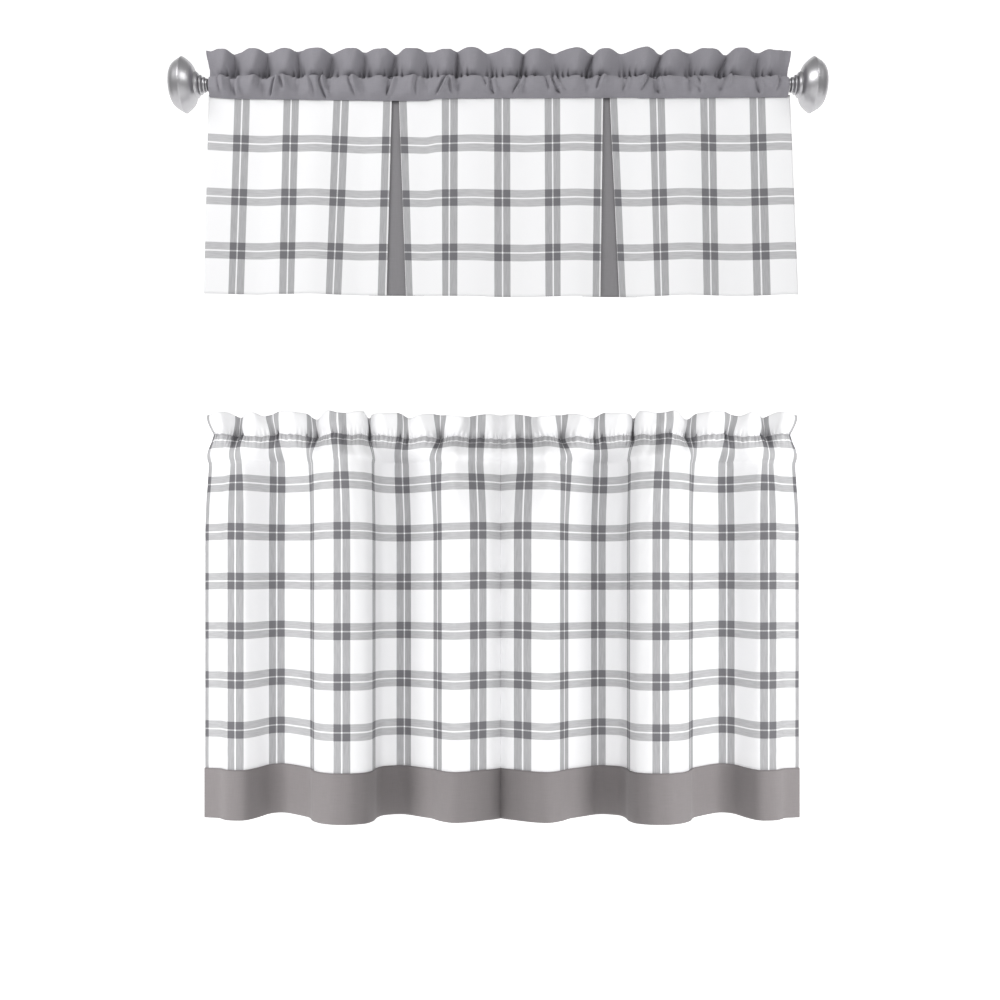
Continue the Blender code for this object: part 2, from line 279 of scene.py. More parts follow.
def weave(tree, shader):
    """Adds the relief of a plain weave to the shader and returns the noise of the two yarns."""
    place, across, along = cloth_place(tree)
    turns = 2 * pi * YARNS_PER_METRE / 2
    first = sum_of(tree, "SINE", sum_of(tree, "MULTIPLY", across, turns))
    second = sum_of(tree, "SINE", sum_of(tree, "MULTIPLY", along, turns))
    crowns = sum_of(tree, "MULTIPLY", first, second)
    warp = noise(tree, place, (SLUBS_ACROSS, SLUBS_ALONG))
    weft = noise(tree, place, (SLUBS_ALONG, SLUBS_ACROSS))
    slubs = sum_of(tree, "ADD", warp, weft)
    height = sum_of(tree, "MULTIPLY_ADD", crowns, 0.35, slubs)
    bump = tree.nodes.new("ShaderNodeBump")
    set_inputs(bump, {"Strength": 0.5, "Distance": WEAVE_HEIGHT})
    tree.links.new(height, bump.inputs["Height"])
    tree.links.new(bump.outputs["Normal"], shader.inputs["Normal"])
    return warp, weft


print("yarns per centimetre", YARNS_PER_METRE / 100)

# %% [markdown]
# ## Yarn-dyed check
# The check isn't printed: white and grey yarns cross each other, so a stripe is half grey and half
# white, and only where two stripes cross is the cloth fully grey. Each stripe is a pair, parted by
# a hairline of white. The finish mixes a mask for the yarns that run down with one for those that
# run across. It reads the flat cloth's own map, so the stripes ride over the folds.

# %% Check
WHITE_YARN = (0.915, 0.915, 0.925, 1.0)
GREY_YARN = (0.172, 0.170, 0.182, 1.0)
STRIPE = 0.0113
HAIRLINE = 0.0022
STRIPE_EDGE = 0.0006
WARP_SHARE = 0.665  # how grey the cloth looks where only the yarns that run down are grey
WEFT_SHARE = 0.545


def stripe_mask(tree, place, pitch, first):
    """1 on the two stripes of each pair, whose middles lie pitch apart from first on."""
    turn = sum_of(tree, "MULTIPLY_ADD", place, 1 / pitch, 0.5 - first / pitch)
    part = sum_of(tree, "SUBTRACT", turn, sum_of(tree, "FLOOR", turn))
    off = sum_of(tree, "ABSOLUTE", sum_of(tree, "SUBTRACT", part, 0.5))
    off = sum_of(tree, "MULTIPLY", off, pitch)
    outer = HAIRLINE / 2 + STRIPE
    inside = ramp(tree, off, outer - STRIPE_EDGE / 2, outer + STRIPE_EDGE / 2, 1.0, 0.0)
    past_hairline = ramp(tree, off, (HAIRLINE - STRIPE_EDGE) / 2, (HAIRLINE + STRIPE_EDGE) / 2)
    return sum_of(tree, "MULTIPLY", inside, past_hairline)


def check_finish(name, pitch_across, first_across, pitch_along, first_along):
    finish, tree, shader = new_finish(name, {"Roughness": 0.92, "Sheen Weight": 0.08,
                                             "Specular IOR Level": 0.2})
    _, across, along = cloth_place(tree)
    warp, weft = weave(tree, shader)
    down = sum_of(tree, "MULTIPLY", stripe_mask(tree, across, pitch_across, first_across),
                  ramp(tree, warp, 0.25, 0.75, WARP_SHARE * 0.90, WARP_SHARE * 1.06))
    over = sum_of(tree, "MULTIPLY", stripe_mask(tree, along, pitch_along, first_along),
                  ramp(tree, weft, 0.25, 0.75, WEFT_SHARE * 0.88, WEFT_SHARE * 1.10))
    share = sum_of(tree, "MINIMUM", sum_of(tree, "ADD", down, over), 1.0)
    tree.links.new(mixed(tree, share, WHITE_YARN, GREY_YARN), shader.inputs["Base Color"])
    return finish


TIER_PITCH = 0.0730
TIER_PITCH_ALONG = 0.0742
TIER_FIRST_ACROSS = -0.0062
TIER_FIRST_ALONG = 0.0392
VALANCE_PITCH_ACROSS = 0.0800
VALANCE_PITCH_ALONG = 0.0812
VALANCE_FIRST_ALONG = -0.0885
tier_check = check_finish("tier_check", TIER_PITCH, TIER_FIRST_ACROSS,
                           TIER_PITCH_ALONG, TIER_FIRST_ALONG)
valance_check = check_finish("valance_check", VALANCE_PITCH_ACROSS, 0.0,
                             VALANCE_PITCH_ALONG, VALANCE_FIRST_ALONG)
print("checks", tier_check.name, valance_check.name)

# %% [markdown]
# ## Plain grey cloth
# The heading and the insets are a cool grey, the hem bands a warmer one. Yarns take the dye
# unevenly, so thin streaks run both ways.

# %% Plain cloths
HEADING_GREY = (0.280, 0.272, 0.298)
INSET_GREY = (0.238, 0.232, 0.242)
BAND_GREY = (0.242, 0.224, 0.226)


def plain_finish(name, colour):
    finish, tree, shader = new_finish(name, {"Roughness": 0.88, "Sheen Weight": 0.12,
                                             "Specular IOR Level": 0.2})
    warp, weft = weave(tree, shader)
    streaks = sum_of(tree, "MULTIPLY", sum_of(tree, "ADD", warp, weft), 0.5)
    share = ramp(tree, streaks, 0.3, 0.7)
    dark = tuple(part * 0.97 for part in colour) + (1.0,)
    pale = tuple(min(part * 1.03, 1.0) for part in colour) + (1.0,)
    tree.links.new(mixed(tree, share, dark, pale), shader.inputs["Base Color"])
    return finish


heading_cloth = plain_finish("heading_cloth", HEADING_GREY)
inset_cloth = plain_finish("inset_cloth", INSET_GREY)
band_cloth = plain_finish("band_cloth", BAND_GREY)
print("plain cloths ready")

# %% [markdown]
# ## Satin nickel
# The rod and finials have a satin polish with soft highlights. Fine marks run round the turning
# axis, as the lathe left them, so the noise is packed close along X.

# %% Metal
METAL = (0.505, 0.50, 0.515, 1.0)

satin_nickel, metal_tree, metal_shader = new_finish("satin_nickel", {"Metallic": 1.0})
metal_place = metal_tree.nodes.new("ShaderNodeTexCoord")
marks = noise(metal_tree, metal_place.outputs["Object"], (2500.0, 60.0), 3.0)
metal_colour = mixed(metal_tree, marks, tuple(part * 0.94 for part in METAL[:3]) + (1.0,), METAL)
metal_tree.links.new(metal_colour, metal_shader.inputs["Base Color"])
polish = ramp(metal_tree, marks, 0.3, 0.7, 0.32, 0.40)
metal_tree.links.new(polish, metal_shader.inputs["Roughness"])
rod = frame["nodes"]["valance_rod"]
rod.data.materials.clear()
rod.data.materials.append(satin_nickel)
print("metal on", rod.name)

# %% [markdown]
# ## Finials
# A finial is a mushroom knob on a stack of beads, turned on a lathe. Its outline is drawn once and
# spun round the rod's axis. Between two sharp places it is a smooth curve through its points.

# %% Finials
FINIAL_TIP = 0.4946
FINIAL_STEPS = 96
# Outline in millimetres: in from the tip, radius, and 1 where the outline turns sharply
FINIAL_OUTLINE = (
    (0.0, 0.0, 0), (0.3, 3.4, 0), (1.6, 4.8, 0), (2.7, 7.5, 1),
    (3.2, 14.5, 0), (4.4, 21.5, 0), (7.6, 28.4, 0), (13.0, 33.6, 0),
    (19.0, 37.2, 0), (23.6, 39.8, 1), (24.8, 39.8, 1),
    (28.4, 37.4, 0), (33.6, 33.2, 0), (38.0, 28.2, 0), (40.9, 21.8, 1),
    (41.6, 19.6, 1), (44.6, 18.2, 0), (46.4, 16.0, 1), (47.4, 12.6, 1),
    (48.4, 13.9, 0), (49.6, 14.4, 0), (50.9, 13.4, 0), (52.0, 9.8, 1),
    (53.2, 11.0, 0), (54.8, 11.4, 0), (56.2, 10.4, 0), (57.0, 8.4, 1),
    (58.0, 9.2, 0), (59.2, 9.2, 0), (60.3, 7.4, 1),
)
CURVE_STEPS = 6


def smooth_outline(rows):
    """Points along the outline: a smooth curve between one sharp place and the next."""
    points = [rows[0][:2]]
    for number in range(len(rows) - 1):
        start, end = np.array(rows[number][:2]), np.array(rows[number + 1][:2])
        before = start if rows[number][2] or number == 0 else np.array(rows[number - 1][:2])
        last = rows[number + 1][2] or number + 2 == len(rows)
        after = end if last else np.array(rows[number + 2][:2])
        leave = (end - before) / (1.0 if before is start else 2.0)
        reach = (after - start) / (1.0 if after is end else 2.0)
        for step in range(1, CURVE_STEPS + 1):
            t = step / CURVE_STEPS
            points.append((2 * t**3 - 3 * t**2 + 1) * start + (t**3 - 2 * t**2 + t) * leave
                          + (3 * t**2 - 2 * t**3) * end + (t**3 - t**2) * reach)
    return [(float(inward), max(float(radius), 0.0)) for inward, radius in points]


def finial(name, side):
    turned = bmesh.new()
    outline = smooth_outline(FINIAL_OUTLINE)
    points = [turned.verts.new((side * (FINIAL_TIP - inward / 1000), 0.0, radius / 1000))
              for inward, radius in outline]
    points.append(turned.verts.new((side * (FINIAL_TIP - outline[-1][0] / 1000), 0.0, 0.0)))
    edges = [turned.edges.new(pair) for pair in zip(points, points[1:])]
    bmesh.ops.spin(turned, geom=points + edges, cent=(0, 0, 0), axis=(1, 0, 0), dvec=(0, 0, 0),
                   angle=2 * pi, steps=FINIAL_STEPS, use_merge=True, use_duplicate=False)
    bmesh.ops.remove_doubles(turned, verts=turned.verts, dist=0.000004)
    bmesh.ops.recalc_face_normals(turned, faces=turned.faces)
    made = object_of(name, turned, satin_nickel)
    made.data.set_sharp_from_angle(angle=radians(32))
    return made


for side, node in ((-1, "finial_left"), (1, "finial_right")):
    knob = finial(f"turned_{node}", side)
    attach(knob, "root")
    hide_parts(node)
    print(knob.name, len(knob.data.polygons), "faces")

# %% [markdown]
# ## Sheets of cloth
# These folds are known, as the stripes show how much cloth each one takes. So each sheet is a grid,
# laid row by row on lines worked out for its heights, and every point keeps its place on the flat
# cloth as its map. Solidify then gives it its thickness.

# %% Laying a sheet
CLOTH = 0.0009
LAYER_STEP = 0.0013  # from the middle of one layer to the middle of the next


def lay_sheet(name, points, flat, thickness, finish):
    """A sheet on points (rows, columns, 3) with places on the flat cloth (rows, columns, 2)."""
    rows, columns = points.shape[:2]
    grid = bmesh.new()
    bmesh.ops.create_grid(grid, x_segments=columns - 1, y_segments=rows - 1, size=1.0)
    made = object_of(name, grid, finish)
    mesh = made.data
    corners = np.empty(3 * len(mesh.vertices))
    mesh.vertices.foreach_get("co", corners)
    corners = corners.reshape(-1, 3).round(5)
    order = np.lexsort((corners[:, 0], corners[:, 1]))
    places = np.empty_like(corners)
    places[order] = points.reshape(-1, 3)
    mesh.vertices.foreach_set("co", places.ravel())
    flat_places = np.empty((len(order), 2))
    flat_places[order] = flat.reshape(-1, 2)
    loops = np.empty(len(mesh.loops), dtype=np.int32)
    mesh.loops.foreach_get("vertex_index", loops)
    flat_map = mesh.uv_layers.new(name=FLAT_MAP)
    flat_map.data.foreach_set("uv", flat_places[loops].ravel())
    mesh.update()
    solid = made.modifiers.new("thickness", "SOLIDIFY")
    solid.thickness = thickness
    solid.offset = 0.0
    solid.use_quality_normals = True
    print(name, rows, "rows", columns, "columns")
    return made


def beside(x, y, distance):
    """The lines (x, y) moved sideways by distance, towards +Y for a line that runs along +X."""
    dx, dy = np.gradient(x), np.gradient(y)
    length = np.hypot(dx, dy)
    return x - distance * dy / length, y + distance * dx / length


def bell(off, width):
    """1 at 0, fading out on both sides over about width."""
    return np.exp(-(off / width) ** 2)


def ease(value):
    """0 up to 0, 1 from 1 on, and smooth between them."""
    value = np.clip(value, 0.0, 1.0)
    return value * value * (3.0 - 2.0 * value)


def run_lengths(points):
    """Length along each column from the first row, in metres."""
    steps = np.linalg.norm(np.diff(points, axis=0), axis=2)
    return np.vstack((np.zeros(points.shape[1]), np.cumsum(steps, axis=0)))


def crumple(across, along, height, seed, waves=9, shortest=0.012, longest=0.045):
    """Soft uneven relief on the cloth: a few waves of seeded direction, length and start."""
    rng = np.random.default_rng(seed)
    relief = np.zeros(np.broadcast(across, along).shape)
    for _ in range(waves):
        turn, start = rng.uniform(0, pi), rng.uniform(0, 2 * pi)
        length = rng.uniform(shortest, longest)
        relief += np.sin(2 * pi * (across * np.cos(turn) + along * np.sin(turn)) / length + start)
    return relief * height / waves ** 0.5


print("cloth thickness", CLOTH)

# %% [markdown]
# ## Valance heading
# The heading is a doubled strip: its lower half is the rod's pocket, its upper half a ruffle.
# Pushed together on the rod it falls into gathers, wide soft ridges with narrower hollows between
# them, which close to dark tucks at the stitches. The strip is laid from the seam up the front,
# over its top edge and down the back.

# %% Valance heading, sizes
VALANCE_STITCH = 0.0128
VALANCE_SEAM = -0.0220
VALANCE_TOP = 0.0540
TOP_DROP = 0.0024
GATHER_COLUMNS = 44  # grid columns to one gather
# Hollows between the gathers, in millimetres along the rod: at the top edge, at the stitches, the
# dip of the top edge, the depth over the usual, and how far the gather to the right leans over
VALANCE_HOLLOWS = (
    (-438, -434, 0, 0.3, 0.5), (-397, -400, 4, 1.1, 0.7), (-347, -352, 0, 1.0, 0.5),
    (-301, -300, 0, 0.8, 0.2), (-250, -257, 0, 1.2, 0.6), (-201, -202, 0, 0.8, 0.4),
    (-155, -162, 3, 1.1, 0.3), (-108, -106, 0, 0.8, 0.6), (-61, -63, 0, 1.1, -0.2),
    (-13, -8, 2, 0.9, 0.5), (39, 34, 2, 1.0, -0.5), (84, 90, 2, 0.9, 0.3),
    (143, 133, 3, 1.2, -0.6), (186, 191, 2, 0.8, 0.2), (245, 236, 3, 1.1, -0.6),
    (288, 290, 2, 0.9, -0.2), (344, 333, 3, 1.2, -0.6), (392, 390, 2, 0.9, -0.4),
    (440, 436, 0, 0.3, 0.0),
)
# The heading by height, in millimetres: height, share of the gathers, how narrow their hollows
# are, share of the pinch in each hollow, how far each layer stands off the middle plane
VALANCE_LEVELS = (
    (-22.0, 0.00, 2.0, 0.00, 1.3), (-20.5, 0.06, 2.0, 0.00, 2.2), (-18.0, 0.16, 2.0, 0.10, 6.0),
    (-14.0, 0.26, 2.0, 0.25, 10.2), (-8.0, 0.34, 2.0, 0.45, 13.0), (-2.0, 0.38, 2.0, 0.60, 14.0),
    (4.0, 0.38, 2.0, 0.75, 13.0), (8.5, 0.34, 2.0, 0.90, 9.4), (11.3, 0.28, 1.8, 1.00, 4.4),
    (12.8, 0.24, 1.6, 1.00, 0.8), (14.6, 0.56, 1.3, 1.00, 1.8), (18.0, 0.96, 1.3, 0.85, 3.6),
    (24.0, 1.16, 1.6, 0.55, 4.2), (34.0, 1.06, 2.2, 0.30, 3.6), (45.0, 0.88, 3.0, 0.12, 2.4),
    (52.6, 0.76, 3.6, 0.00, 1.4), (54.0, 0.74, 3.8, 0.00, 0.55),
)
LEVEL_STEPS = 2  # grid rows to one level
GATHER_DEPTH = 0.0104
PINCH_DEPTH = 0.0058
PINCH_WIDTH = 0.075  # over the width of one gather
ROD_CLEAR = 0.0084  # how near to the rod's axis the cloth may come
SEAM_GAP = 0.0033  # how much further the back layer stands off at the seam, behind the panels
SEAM_GAP_TOP = -0.016
CREST_RELIEF = 0.0010
POCKET_RELIEF = 0.0011

# %% [markdown]
# Soft creases are drawn on one by one, each a short trough with a ridge beside it. The tucks are
# small pits at the stitches, where the thread pulls the cloth in.

# %% Creases and tucks
# Creases of the valance's pocket in millimetres: place along the rod at the stitches, at the lower
# end, height of the lower end, sideways bow, depth, width. A ridge runs along the side of its sign
POCKET_CREASES = (
    (-420, -414, -19, 1, 1.6, 3.0, 1), (-392, -392, -20, -3, 2.6, 3.0, 1),
    (-356, -361, -10, 0, 1.8, 3.2, -1), (-332, -341, -20, 1, 3.4, 2.6, 1),
    (-328, -320, -11, 1, 2.4, 3.0, 1), (-284, -275, -20, 2, 1.8, 3.4, -1),
    (-267, -257, -20, -3, 3.4, 2.8, 1), (-223, -213, -18, -2, 2.6, 3.2, 1),
    (-157, -168, -17, 0, 3.4, 2.8, 1), (-119, -124, -18, -2, 1.8, 3.0, -1),
    (-76, -93, -18, 1, 3.2, 2.8, 1), (-73, -69, -18, -2, 2.4, 3.0, 1),
    (-23, -17, -6, 0, 2.0, 2.8, 1), (-12, -4, -18, -3, 3.2, 2.8, 1),
    (34, 20, -18, 2, 3.4, 2.8, 1), (70, 77, -11, 0, 2.0, 3.0, 1),
    (80, 96, -18, -4, 3.4, 3.0, 1), (154, 147, -12, 0, 2.8, 2.8, 1),
    (193, 185, -13, 1, 2.0, 2.8, 1), (225, 211, -15, 2, 2.6, 2.8, -1),
    (237, 243, -18, -3, 3.4, 2.8, 1), (282, 305, -18, 0, 2.8, 3.0, 1),
    (296, 305, -16, -1, 2.2, 2.8, -1), (342, 333, -12, 1, 3.4, 2.8, 1),
    (384, 394, -18, -2, 3.0, 2.8, 1), (420, 414, -16, 1, 1.8, 3.0, -1),
)
# Small tucks at the stitches, besides those in and beside the hollows: millimetres along the rod
STITCH_TUCKS = (-393, -354, -346, -294, -240, -190, -165, -152, -143, -89, -45, 8, 43, 55,
                106, 141, 153, 199, 207, 241, 251, 305, 341, 350, 407)
TUCK_DEPTH = 0.00744
HOLLOW_TUCK_DEPTH = 0.0090
TUCK_WIDTH = 0.0019
TUCK_ABOVE = 0.0095  # how far a tuck runs up from the stitches, and down
TUCK_BELOW = 0.0045
TUCK_BESIDE = 0.0078  # from a hollow to the tuck on each side of it, and how much that varies
TUCK_STRAY = 0.002
# How far the lower edge of the heading lies over its usual height: place, shift, in millimetres
SEAM_SHIFTS = ((-434, 3.2), (-400, 0.8), (-270, -1.0), (-150, -2.4), (-106, -2.2), (-92, 0.8),
               (0, 1.6), (206, 2.4), (214, 1.6), (434, 2.8))
RIDGE_SHARE = 1.0  # height of a crease's ridge over the depth of its trough
CREASE_SCALE = 2.2
CREASE_WIDTH = 0.8


def crease(x, z, top, row):
    """Relief of one crease, over 0 where the cloth is pushed back, on points at x and z."""
    start, end, low, bow, depth, width, ridge = row
    share = (top - z) / (top - low / 1000)
    line = (start + (end - start) * share + bow * np.sin(pi * np.clip(share, 0, 1))) / 1000
    fade = ease(share * 6.0 + 0.5) * ease((1.0 - share) * 5.0)
    off = x - line
    wide = CREASE_WIDTH * width / 1000
    trough = bell(off, wide) - RIDGE_SHARE * bell(off - 2.2 * ridge * wide, 1.5 * wide)
    return CREASE_SCALE * depth / 1000 * fade * trough


print(len(POCKET_CREASES), "creases", len(STITCH_TUCKS), "tucks")

# %% Valance heading, laying
def level_values(column):
    """One column of the heading's levels, with LEVEL_STEPS grid rows from one to the next."""
    values = [row[column] for row in VALANCE_LEVELS]
    steps = np.linspace(0, len(values) - 1, LEVEL_STEPS * (len(values) - 1) + 1)
    return np.interp(steps, np.arange(len(values)), values)


def valance_heading():
    hollow_top, hollow_stitch, dips, deep, over = (np.array(part) for part in zip(*VALANCE_HOLLOWS))
    gathers = np.arange(len(deep))
    along = np.linspace(0, gathers[-1], gathers[-1] * GATHER_COLUMNS + 1)
    nearest = np.round(along)
    gather = np.minimum(np.floor(along), gathers[-1] - 1).astype(int)
    place = along - gather
    place = place - over[gather] * place * (1.0 - place)
    x_top, x_stitch = (np.interp(along, gathers, row) / 1000 for row in (hollow_top, hollow_stitch))
    dip = np.interp(nearest, gathers, dips) / 1000 * bell(along - nearest, 0.22)
    pinch = PINCH_DEPTH * np.interp(nearest, gathers, deep) * bell(along - nearest, PINCH_WIDTH)
    depth = GATHER_DEPTH * np.interp(along, gathers, deep)
    heights, shares, narrow, pinches, out = map(level_values, range(5))
    rows = []
    order = [(-1, number) for number in range(len(heights))]
    order += [(1, number) for number in range(len(heights) - 1, -1, -2)]
    for side, number in order:
        height = heights[number] / 1000
        up = ease((height - VALANCE_STITCH) / (VALANCE_TOP - VALANCE_STITCH))
        x = (x_stitch + (x_top - x_stitch) * up) * (1.0 - 0.004 * (1.0 - up))
        y = depth * shares[number] * (2 * np.abs(np.cos(pi * place)) ** narrow[number] - 1)
        stand = out[number] / 1000
        if side > 0 and height < SEAM_GAP_TOP:
            stand = stand + SEAM_GAP * ease((SEAM_GAP_TOP - height) / 0.004)
        if height < VALANCE_STITCH:
            x_row, y_row = x, y + side * (stand - pinch * pinches[number])
        else:
            x_row, y_row = beside(x, y + pinch * pinches[number], side * stand)
        z_row = np.full(x.shape, height) - (dip + TOP_DROP) * up ** 1.5
        rows.append(np.stack((x_row, y_row, z_row), axis=1))
    points = np.array(rows)
    front = np.arange(len(rows))[:, None] < len(heights)
    x, z = points[..., 0], points[..., 2]
    creases, tucks = np.zeros(x.shape), np.zeros(x.shape)
    for row in POCKET_CREASES:
        creases += crease(x, z, VALANCE_STITCH, row) * (z < VALANCE_STITCH)
    strays = np.random.default_rng(21).uniform(-TUCK_STRAY, TUCK_STRAY, (len(hollow_stitch), 2))
    tuck_places = [(tuck / 1000, TUCK_DEPTH) for tuck in STITCH_TUCKS]
    for hollow, stray in zip(hollow_stitch[1:-1] / 1000, strays):
        for off in (0.0, stray[0] - TUCK_BESIDE, stray[1] + TUCK_BESIDE):
            tuck_places.append((hollow + off, HOLLOW_TUCK_DEPTH))
    tall = np.where(z > VALANCE_STITCH, TUCK_ABOVE, TUCK_BELOW)
    for tuck, depth in tuck_places:
        tucks += depth * bell(x - tuck, TUCK_WIDTH) * bell(z - VALANCE_STITCH, tall)
    creases += crumple(x, z, POCKET_RELIEF, 4)
    stands = np.array([out[number] for _, number in order])[:, None] / 1000
    room = np.where(z < VALANCE_STITCH - 0.001, 0.8 * stands, 1.0)
    free = ease((z - VALANCE_SEAM) / 0.004)
    pushed = np.minimum(creases + tucks, room) * free
    both = np.where(z > VALANCE_STITCH - 0.001, tucks, 0.0)
    points[..., 1] += np.where(front, pushed, both - np.minimum(creases, room) * free)
    crest = ease((z - VALANCE_STITCH) / (VALANCE_TOP - TOP_DROP - VALANCE_STITCH)) ** 2
    points[..., 2] += crumple(x, 0.0, CREST_RELIEF, 9, 6, 0.022, 0.070) * crest
    points[..., 2] += np.interp(x * 1000, *zip(*SEAM_SHIFTS)) / 1000 * ease((-0.004 - z) / 0.016)
    clear = np.sqrt(np.maximum(ROD_CLEAR ** 2 - z ** 2, 0.0))
    away = np.where(front, -points[..., 1], points[..., 1])
    away = np.where(np.abs(z) < ROD_CLEAR, np.maximum(away, clear), away)
    points[..., 1] = np.where(front, -away, away)
    level = int(np.argmin(np.abs(heights - 27.0)))
    across = np.append(0.0, np.cumsum(np.linalg.norm(np.diff(points[level], axis=0), axis=1)))
    flat = np.stack(np.broadcast_arrays(across[None, :], run_lengths(points)), axis=2)
    return points, flat


heading_points, heading_flat = valance_heading()
heading = lay_sheet("gathered_heading", heading_points, heading_flat, CLOTH, heading_cloth)
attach(heading, "root")
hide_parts("valance_heading")

# %% [markdown]
# ## Valance panels
# Three panels of the check hang from the heading. Where one meets an inset it is folded back on
# itself, on the hairline of a stripe pair. Where the cloth waves the pairs look nearer to each
# other, so their lines are listed at the top and at the hem, and the map follows them.

# %% Valance panels
VALANCE_HEM = -0.3165
SEAM_TUCK = 0.0040
INSET_RETURN = 0.0260
RETURN_STEP = 0.0016
INSET_STEP = 0.0033
PANEL_SWING = 0.0018
PANEL_WAVE = 0.190
PANEL_ROWS = 60
PANEL_COLUMNS = 96
RETURN_COLUMNS = 10
FOLD_TURN = 5  # grid columns round a folded edge
# Lines of each panel in millimetres: flat place, at the top, at the hem. The first and last are
# its edges, and the others the middles of its stripe pairs, 80 mm apart on the flat cloth
VALANCE_LINES = {
    "left": ((-54, -434, -441), (0, -383.5, -394), (80, -310, -316), (160, -235, -247.5),
             (240, -160.5, -168.5)),
    "centre": ((1.6, -147.3, -136.7), (80, -72.5, -73.5), (160, 6.5, 7), (240, 81.5, 83),
               (320, 156.5, 152.5)),
    "right": ((1.6, 169, 183.5), (80, 238, 245), (160, 315, 319.5), (240, 388.5, 396),
              (291, 438, 450)),
}
VALANCE_INSETS = {"left": (-160.5, -147.3, -168.5, -136.7), "right": (156.5, 169, 152.5, 183.5)}
# Long soft folds in a panel, in millimetres: place at the top, at the hem, depth, width
PANEL_FOLDS = (
    (-352, -362, 3.2, 24), (-316, -330, -1.8, 14), (-270, -283, -3.6, 22), (-200, -208, 3.0, 20),
    (-110, -106, 2.8, 24), (-36, -34, -3.0, 26), (44, 45, 2.8, 24), (118, 118, -3.0, 22),
    (198, 210, 3.0, 22), (275, 283, -3.6, 24), (330, 342, 2.0, 16), (362, 368, 2.8, 22),
    (420, 430, -2.6, 18),
)
# How far the lower edge of the valance is lifted: place along the rod, lift, in millimetres
PANEL_LIFTS = ((-450, 3.6), (-300, 2.6), (-166, 1.4), (0, -1.2), (140, -0.8), (300, 0.6),
               (450, 1.8))


def panel_drop(z):
    return np.clip((VALANCE_SEAM - z) / (VALANCE_SEAM - VALANCE_HEM), 0.0, 1.0)


def panel_depth(x, z):
    """How far the valance's cloth stands back at x and z."""
    drop = panel_drop(z)
    depth = PANEL_SWING * drop * np.cos(2 * pi * x / PANEL_WAVE)
    for top, hem, deep, width in PANEL_FOLDS:
        line = (top + (hem - top) * drop) / 1000
        depth = depth + deep / 1000 * bell(x - line, width / 1000) * ease(drop * 3.0 + 0.25)
    return depth * ease((VALANCE_SEAM + SEAM_TUCK - z) / 0.020)


def panel_lift(x, z):
    """How far the cloth is lifted at x and z, between the lifts of its seam and its hem."""
    drop = panel_drop(z)
    hem, seam = (np.interp(x * 1000, *zip(*rows)) / 1000 for rows in (PANEL_LIFTS, SEAM_SHIFTS))
    return hem * drop + seam * (1.0 - drop)


def valance_panel(name, folded):
    """Points and flat places of a panel, folded back at its left edge, 1, and its right, -1."""
    flat_lines, top_lines, hem_lines = (np.array(column) for column in zip(*VALANCE_LINES[name]))
    heights = np.linspace(VALANCE_HEM, VALANCE_SEAM + SEAM_TUCK, PANEL_ROWS)
    face = np.linspace(flat_lines[0], flat_lines[-1], PANEL_COLUMNS)
    back = np.linspace(2.0, INSET_RETURN * 1000, RETURN_COLUMNS)
    turn = np.linspace(0, pi, FOLD_TURN + 2)[1:-1]
    points, flat = [], []
    for z in heights:
        drop = panel_drop(z)
        lines = (top_lines + (hem_lines - top_lines) * drop) / 1000
        x = np.interp(face, flat_lines, lines)
        y = panel_depth(x, z)
        u = face / 1000
        for sign in folded:
            at = min(sign, 0)
            edge = x[at]
            round_x = edge - sign * RETURN_STEP / 2 * np.sin(turn)
            round_y = panel_depth(edge, z) + RETURN_STEP / 2 * (1 - np.cos(turn))
            back_x = edge + sign * back / 1000
            back_y = panel_depth(back_x, z) + RETURN_STEP
            run = np.concatenate((RETURN_STEP / 2 * turn, back / 1000 + RETURN_STEP))
            added = (np.concatenate((round_x, back_x)), np.concatenate((round_y, back_y)),
                     u[at] - sign * run)
            x, y, u = (np.concatenate((more[::-1], old) if at == 0 else (old, more))
                       for more, old in zip(added, (x, y, u)))
        points.append(np.stack((x, y, z + panel_lift(x, z)), axis=1))
        flat.append(np.stack((u, np.full(x.shape, z)), axis=1))
    return np.array(points), np.array(flat)


for name, folded in (("left", (-1,)), ("centre", (1, -1)), ("right", (1,))):
    panel_points, panel_flat = valance_panel(name, folded)
    panel = lay_sheet(f"check_panel_{name}", panel_points, panel_flat, CLOTH, valance_check)
    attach(panel, "root")
    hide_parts(f"valance_panel_{name}")

# %% [markdown]
# ## Insets
# Each inset is a plain strip sewn behind a gap between two panels, and its edges are hidden.

# %% Insets
INSET_COLUMNS = 28

for name, (left_top, right_top, left_hem, right_hem) in VALANCE_INSETS.items():
    heights = np.linspace(VALANCE_HEM, VALANCE_SEAM + SEAM_TUCK, PANEL_ROWS)[:, None]
    drop = panel_drop(heights)
    left = (left_top + (left_hem - left_top) * drop) / 1000 - INSET_RETURN
    right = (right_top + (right_hem - right_top) * drop) / 1000 + INSET_RETURN
    x = left + (right - left) * np.linspace(0, 1, INSET_COLUMNS)[None, :]
    z = np.broadcast_to(heights, x.shape)
    y = panel_depth(x, z) + INSET_STEP
    inset_points = np.stack((x, y, z + panel_lift(x, z)), axis=2)
    inset_flat = np.stack((x - x.min(), z), axis=2)
    inset = lay_sheet(f"plain_inset_{name}", inset_points, inset_flat, CLOTH, inset_cloth)
    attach(inset, "root")
    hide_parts(f"valance_inset_{name}")

# %% [markdown]
# ## Tiers
# Each tier is one sheet: a body that falls in long folds, drawn up at its top into a pocket and a
# ruffle. The cloth can't stretch, so at any height it is a line of fixed length that leans back and
# forth to fit a narrower width. A fold is written as how steeply its sides lean, which the width of
# the stripes tells: their pairs are 73 mm apart on the flat cloth.

